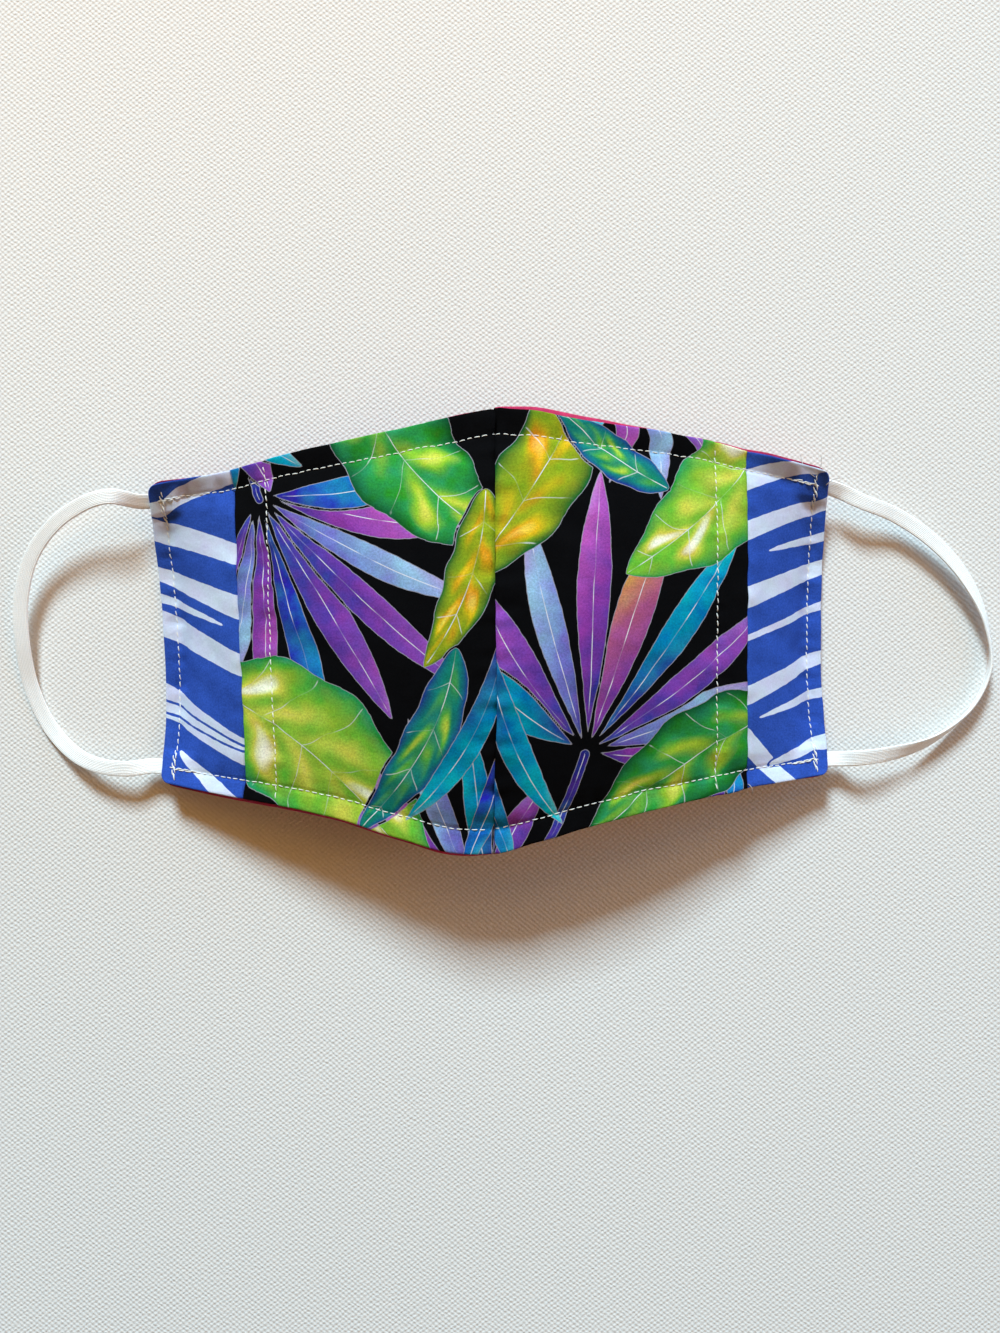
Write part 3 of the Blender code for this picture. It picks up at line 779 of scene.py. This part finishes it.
def leaf_field(leaf, places, number):
    """Signed distance to a leaf's edge, distances along and off its rib, and its inks."""
    start = np.array([leaf["from_u"], leaf["from_v"]], float)
    end = np.array([leaf["to_u"], leaf["to_v"]], float)
    sideways = np.array([start[1] - end[1], end[0] - start[0]]) / np.linalg.norm(end - start)
    turn = 0.5 * (start + end) + 2 * leaf["bow"] * sideways
    at = np.linspace(0, 1, BLADE_STEPS + 1)[:, None]
    line = (1 - at) ** 2 * start + 2 * at * (1 - at) * turn + at**2 * end
    runs = np.linalg.norm(np.diff(line, axis=0), axis=1)
    total = runs.sum()
    best = np.full(len(places), np.inf)
    along, lateral = np.zeros(len(places)), np.zeros(len(places))
    done = 0.0
    for first, second, run in zip(line[:-1], line[1:], runs):
        heading = (second - first) / run
        to = places - first
        share = np.clip(to @ heading, 0, run)
        off = to - share[:, None] * heading
        distance = np.hypot(off[:, 0], off[:, 1])
        nearer = distance < best
        best = np.where(nearer, distance, best)
        along = np.where(nearer, done + share, along)
        sign = np.sign(heading[0] * off[:, 1] - heading[1] * off[:, 0])
        lateral = np.where(nearer, sign * distance, lateral)
        done += run
    share = np.clip(along / total, 0, 1)
    half = leaf["half_width"]
    if leaf["kind"] == "blade":
        width = half * np.sin(math.pi * share**1.2) ** 0.85
        if leaf["ink"] == "stem":
            width = half * np.ones_like(share)
    elif leaf["kind"] == "stripe":
        width = half * (1 - share) ** STRIPE_TAPER
    else:
        wave = 1 + 0.05 * np.sin(2 * math.pi * (4.3 * share + 0.13 * number) + np.sign(lateral))
        width = half * wave * np.sin(math.pi * share**0.8) ** 0.75
    stops = [ink(*c) for c in INKS[leaf["ink"]]]
    relative = np.clip(lateral / np.maximum(width, 0.3), -1.5, 1.5)
    if leaf["kind"] == "blade":
        tone = np.clip(share * 2.6 + 0.35 * relative - 0.1 + 0.25 * math.sin(number), 0, 3)
    elif leaf["kind"] == "broad":
        slanted = share - 0.22 * np.abs(relative) + 0.02 * np.sin(9 * relative + number)
        glow = np.zeros_like(share)
        for i in range(4):
            middle = (0.10 + 0.21 * i + 0.05 * math.sin(2 * number + i)) - 0.06 * np.sign(lateral)
            weight = 0.62 + 0.38 * math.sin(1.3 * number + 2.2 * i)
            off_rib = np.abs(relative) - (0.35 + 0.1 * math.sin(number + 3 * i))
            glow += weight * np.exp(-((slanted - middle) / 0.055) ** 2 - (off_rib / 0.36) ** 2)
        tone = np.clip(1.0 + 2.2 * glow - 1.1 * np.abs(relative) ** 3, 0, 3)
    else:
        tone = np.clip(3 * share, 0, 3)
    inks = np.stack([np.interp(tone, np.arange(4), [s[c] for s in stops]) for c in range(3)], axis=-1)
    return best - width, along, lateral, inks


def print_layers(rows, places, layers):
    """Attributes of every layer, at each place of the cloth."""
    found = {}
    for layer in layers:
        edge = np.full(len(places), 60.0)
        other = np.zeros((len(places), 2))
        inks = np.ones((len(places), 4))
        for number, row in enumerate(rows):
            if row["layer"] != layer:
                continue
            away, along, lateral, colour = leaf_field(row, places, number)
            edge = np.maximum(edge, LEAF_GAP - away)
            nearer = away < edge
            edge = np.where(nearer, away, edge)
            other[nearer] = np.stack([along, lateral], axis=-1)[nearer]
            inks[nearer, :3] = colour[nearer]
        found["leaf_" + layer] = np.concatenate([edge[:, None], other], axis=1)
        found["ink_" + layer] = inks
    return found


# Cloth pieces

def cloth_piece(name, side, places_in, surface, thickness, material, rows=(), layers=""):
    """A sheet of cloth over a grid from cloth_grid, printed with the rows of leaves in each layer."""
    x, up, off_sides, off_ends = places_in
    grid, normal = surface(side, x, up)
    drop = np.maximum(rounding(off_sides, SEAM_ROUND, thickness / 2),
                      rounding(off_ends, HEM_ROUND, thickness / 2))
    points, quads, inner = shell(grid, normal, thickness, drop, side == "left")
    out, rise = arc_lengths(grid)
    places = np.stack([OUTWARDS[side] * out, rise], axis=-1)
    flat = np.concatenate([places.reshape(-1, 2), places[inner]])
    attributes = {"cloth": np.concatenate([flat, np.zeros((len(flat), 1))], axis=1)}
    for label, values in print_layers(rows, places.reshape(-1, 2), layers).items():
        attributes[label] = np.concatenate([values, values[inner.ravel()]])
    return make_mesh(name, points, [quads], material, attributes)


def stripe_rows(side):
    return [dict(zip(STRIPE_COLUMNS, row), layer="a", kind="stripe", ink="pale")
            for row in STRIPES[side]]


def lining_grid(side):
    """The lining's grid, with its upper and lower edges passing the outer cloth's."""
    middle, _, edge = lines_across(side)
    x, up, off_sides, off_ends = cloth_grid(
        side, middle, lambda at: edge(at) - OUTWARDS[side] * LINING_INSET, LINING_STEP)
    height = side_height(side)
    across = (x - middle(up)) / (edge(up) - middle(up))
    length = edge_height(side, "top", across) - edge_height(side, "bottom", across)
    for name, sign in ((side + "_bottom", -1), (side + "_top", 1)):
        past = table_value(RIM_COLUMNS, LINING_RIM, name, across)
        from_end = (up if sign < 0 else 1 - up) * height
        up = up + sign * RIM_REACH * past / length * fade(from_end, 0, RIM_FADE)
    return x, up, off_sides, off_ends


panel_cloth = print_material(
    "leaf_print", ink(7, 7, 9), (("a", (0, 0)), ("b", (7.5, 0.9)), ("c", (0, 0))),
    ink(226, 226, 232), ink(158, 156, 168), 0.42)
side_cloth = print_material(
    "stripe_print", ink(48, 83, 178), (("a", None),), ink(255, 255, 255), None, 0.4)
lining_cloth = plain_cloth("lining_cotton", ink(206, 40, 98), ink(186, 26, 82))
elastic = elastic_material()
thread = thread_material()


def dress(side, kind):
    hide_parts(kind + "_" + side)


for side in OUTWARDS:
    centre_line, seam_line, side_line = lines_across(side)
    panel = cloth_piece("outer_panel_%s_cloth" % side, side,
                        cloth_grid(side, centre_line, seam_line, GRID_STEP), top_surface,
                        OUTER_CLOTH, panel_cloth, leaf_rows(side), "abc")
    dress(side, "outer_panel")
    strip = cloth_piece("side_panel_%s_cloth" % side, side,
                        cloth_grid(side, seam_line, side_line, GRID_STEP), top_surface,
                        OUTER_CLOTH, side_cloth, stripe_rows(side), "a")
    dress(side, "side_panel")
    lining = cloth_piece("lining_%s_cloth" % side, side, lining_grid(side), lining_surface,
                         LINING_CLOTH, lining_cloth)
    dress(side, "lining")


# Ear loops

BAND_AROUND = 40
BAND_STEP = 0.8
BAND_SQUARENESS = (0.45, 0.7)
BAND_RIB, BAND_RIB_PITCH = 0.10, 0.62


def closed_tube(tube, line, round_it, flip=False):
    """Points, quads, end triangles and cloth coordinates of a tube of rings round a line."""
    rings, around = tube.shape[:2]
    index = np.arange(rings * around).reshape(rings, around)
    right = np.roll(index, -1, axis=1)
    quads = np.stack([index[:-1], index[1:], right[1:], right[:-1]], axis=-1).reshape(-1, 4)
    caps = np.concatenate([
        np.stack([first, second, 0 * first + rings * around + end], axis=-1)
        for end, (first, second) in enumerate(((index[0], right[0]), (right[-1], index[-1])))])
    if flip:
        quads, caps = quads[:, [0, 3, 2, 1]], caps[:, [1, 0, 2]]
    cloth = np.stack([np.repeat(run_lengths(line), around), np.tile(round_it, rings),
                      np.zeros(rings * around)], axis=-1)
    cloth = np.concatenate([cloth, np.zeros((2, 3))])
    return np.concatenate([tube.reshape(-1, 3), line[:1], line[-1:]]), quads, caps, cloth


def ear_loop(side):
    points, ups = loop_route(side, BAND_STEP)
    headings = unit(np.gradient(points, axis=0))
    ups = unit(ups - (ups * headings).sum(1, keepdims=True) * headings)
    across = np.cross(headings, ups)
    turn = np.linspace(0, 2 * math.pi, BAND_AROUND, endpoint=False)
    wide = LOOP_WIDTH / 2 * np.sign(np.cos(turn)) * np.abs(np.cos(turn)) ** BAND_SQUARENESS[0]
    high = LOOP_THICKNESS / 2 * np.sign(np.sin(turn)) * np.abs(np.sin(turn)) ** BAND_SQUARENESS[1]
    high = high * (1 - BAND_RIB * (0.5 + 0.5 * np.cos(2 * math.pi * wide / BAND_RIB_PITCH)))
    tube = points[:, None] + across[:, None] * wide[None, :, None] + ups[:, None] * high[None, :, None]
    tube_points, quads, caps, cloth = closed_tube(tube, points, wide, flip=True)
    band = make_mesh("ear_loop_%s_band" % side, tube_points, [quads, caps], elastic, {"cloth": cloth})
    dress(side, "ear_loop")


for side in OUTWARDS:
    ear_loop(side)


# Stitches

def stitch_bodies(starts, ends, tops, arch=0.14, sink=0.16):
    """A short arched thread from each start to each end; tops are the face directions."""
    share = np.linspace(0, 1, STITCH_RINGS)
    sideways = unit(np.cross(tops, unit(ends - starts)))
    bow = np.sin(math.pi * share) ** 0.6
    middle = starts[:, None] + (ends - starts)[:, None] * share[None, :, None]
    middle = middle + tops[:, None] * (arch * bow - sink * (1 - bow))[None, :, None]
    turn = np.linspace(0, 2 * math.pi, STITCH_SIDES, endpoint=False)
    ring = (sideways[:, None, None] * (THREAD_WIDE * np.cos(turn))[None, None, :, None]
            + tops[:, None, None] * (THREAD_HIGH * np.sin(turn))[None, None, :, None])
    tube = middle[:, :, None] + ring * (THREAD_END + (1 - THREAD_END) * bow)[None, :, None, None]
    return [closed_tube(one, line, turn) for one, line in zip(tube, middle)]


def resampled(points, normals, pitch, start):
    run = run_lengths(points)
    at = np.arange(start, run[-1], pitch)
    return [np.stack([np.interp(at, run, values[:, c]) for c in range(3)], axis=-1)
            for values in (points, normals)]


def stitch_row(side, x, up, surface, under, start, slant, long):
    """Starts, ends and face directions of the stitches along a line on the cloth."""
    points, normals = surface(side, x, up)
    if under:
        points, normals = points - LINING_CLOTH * normals, -normals
    knots, tops = resampled(points, normals, STITCH_PITCH, start)
    tops = unit(tops[:-1] + tops[1:])
    headings = unit(knots[1:] - knots[:-1])
    sideways = np.cross(tops, headings)
    number = np.arange(len(tops))[:, None]
    lean = math.radians(slant) + STITCH_LEAN * np.sin(2.3 * number)
    headings = np.cos(lean) * headings + np.sin(lean) * sideways
    middle = 0.5 * (knots[1:] + knots[:-1]) + STITCH_SWAY * np.sin(1.7 * number) * sideways
    return middle - 0.5 * long * headings, middle + 0.5 * long * headings, tops


# How far each pass over a row's end lies along, beside and above the stitches; stitches done twice
BACKSTITCHES = ((0.5, 0.24, 0.14), (-0.35, -0.2, 0.24))
DOUBLED = {"top": (0, 3), "bottom": (0, 3), "side": (4, 4)}


def doubled(row, first, last):
    """The first and last stitches of a row twice more, beside and over themselves."""
    starts, ends, tops = row
    step = ends - starts
    sideways = np.cross(tops, unit(step))
    passes = [row]
    for along, aside, rise in BACKSTITCHES:
        shift = along * step + aside * sideways + rise * tops
        passes.append((starts + shift, ends + shift + 0.5 * aside * sideways, tops))
    picked = np.r_[0:first, len(tops) - last - 1:len(tops) - 1]
    return [np.concatenate([whole] + [extra[picked] for extra in more])
            for whole, *more in zip(*passes)]


def stitch_lines(side):
    """The topstitched lines of a half, as values x and up along each."""
    share = HEM_DEPTH / side_height(side)
    outwards = OUTWARDS[side]
    at = np.linspace(0, 1, ROW_POINTS)
    lines = {}
    for name, up in (("top", 1 - share), ("bottom", share)):
        ups = np.full(len(at), up)
        start = upright("centre", ups)
        end = side_edge(side, ups) - outwards * ROW_END
        lines[name] = (start + (end - start) * at, ups, 0.0, STITCH_PITCH - STITCH_GAP)
    ups = UPRIGHT_END * share + (1 - 2 * UPRIGHT_END * share) * at
    seam = upright(side + "_seam", ups)
    lines["panel"] = (seam - outwards * STITCH_TO_SEAM, ups, SLANT, SLANTED_STITCH)
    lines["side"] = (upright(side + "_side", ups) - outwards * SIDE_STITCH, ups, SLANT, SLANTED_STITCH)
    return lines


def stitches(side, surface, under, name, tails=()):
    """All the topstitching of a half on one face, as one piece."""
    bodies = []
    for i, (label, (x, up, slant, long)) in enumerate(stitch_lines(side).items()):
        row = stitch_row(side, x, up, surface, under, ROW_SHIFT * i, slant, long)
        if label in DOUBLED:
            row = doubled(row, *DOUBLED[label])
        bodies += stitch_bodies(*row)
    bodies += [thread_tail(side, surface, tail) for tail in tails]
    offsets = np.cumsum([0] + [len(body[0]) for body in bodies[:-1]])
    faces = [part + offset for body, offset in zip(bodies, offsets) for part in body[1:3]]
    made = make_mesh(name, np.concatenate([body[0] for body in bodies]), faces, thread,
                     {"cloth": np.concatenate([body[3] for body in bodies])})


TAIL_COLUMNS = ("x", "up", "to_x", "to_y", "to_z", "bow")
THREAD_TAILS = {
    "left": (),
    "right": ((103.6, 0.972, -4.8, 7.4, 0.6, 1.6), (104.2, 0.975, 0.9, 7.0, 1.2, -0.5),
              (107.6, 0.955, 4.6, 2.2, 0.6, 0.6), (81.3, 0.012, 1.4, -3.0, -0.6, 0.5)),
}
TAIL_RADIUS, TAIL_POINTS = 0.12, 15
TAIL_START, TAIL_RISE = 0.05, 0.7


def thread_tail(side, surface, tail):
    """A loose end of thread, from a place on the cloth outwards."""
    row = dict(zip(TAIL_COLUMNS, tail))
    place, normal = surface(side, np.array([row["x"]]), np.array([row["up"]]))
    start = place[0] + TAIL_START * normal[0]
    away = np.array([row["to_x"], row["to_y"], row["to_z"]])
    beside = np.array([-away[1], away[0], 0]) / np.linalg.norm(away)
    share = np.linspace(0, 1, TAIL_POINTS)[:, None]
    bend = row["bow"] * beside + np.array([0, 0, TAIL_RISE])
    line = start + share * away + np.sin(math.pi * share) * bend
    headings = unit(np.gradient(line, axis=0))
    across = unit(np.cross(headings, [0.0, 0.0, 1.0]))
    turn = np.linspace(0, 2 * math.pi, STITCH_SIDES, endpoint=False)
    ring = (np.cos(turn)[:, None] * across[:, None]
            + np.sin(turn)[:, None] * np.cross(across, headings)[:, None])
    points, quads, caps, cloth = closed_tube(line[:, None] + TAIL_RADIUS * ring, line, turn)
    # The third cloth coordinate, set to 1, marks a loose end for the thread's painted shade
    return points, quads, caps, cloth + [0.0, 0.0, 1.0]


for side in OUTWARDS:
    stitches(side, top_surface, False, "topstitch_%s" % side, THREAD_TAILS[side])
    stitches(side, lining_surface, True, "topstitch_lining_%s" % side)


# Floor

FLOOR_WEAVE_ACROSS, FLOOR_WEAVE_UP = 2.06, 1.67
FLOOR_WEAVE_LEAN = 0.02
FLOOR_WEAVE_DEPTH = 0.07
FLOOR_UNEVEN, FLOOR_UNEVEN_SCALES = 4.5, (260.0, 310.0)
FLOOR_GRAIN, FLOOR_GRAIN_SCALE = 2.0, 900.0


def floor_material():
    """A pale board covered with fine primed canvas."""
    made = Shader("pale_canvas_floor", roughness=0.95, specular=0.15)
    place = made.add("TexCoord", {}).outputs["Object"]
    across, up, _ = made.split(place)
    uneven = [made.math("MULTIPLY", made.noise(place, scale, 3.0, 0.6), FLOOR_UNEVEN)
              for scale in FLOOR_UNEVEN_SCALES]
    rows = made.math("MULTIPLY_ADD", across, FLOOR_WEAVE_LEAN, up)
    one = made.wave(across, FLOOR_WEAVE_ACROSS * MM, uneven[0])
    other = made.wave(rows, FLOOR_WEAVE_UP * MM, uneven[1])
    grain = made.math("MULTIPLY", made.noise(place, FLOOR_GRAIN_SCALE), FLOOR_GRAIN)
    weave = made.math("MULTIPLY_ADD", one, other, grain)
    colour = made.mix(made.noise(place, 4.0), ink(217, 215, 212), ink(224, 222, 219))
    return made.finish(colour, made.bump(weave, FLOOR_WEAVE_DEPTH))


FLOOR_HALF = 1500.0
corners = [(x * FLOOR_HALF, y * FLOOR_HALF, 0) for x, y in ((-1, -1), (1, -1), (1, 1), (-1, 1))]
floor = make_mesh("floor", corners, [np.array([[0, 1, 2, 3]])], floor_material(), piece=False)
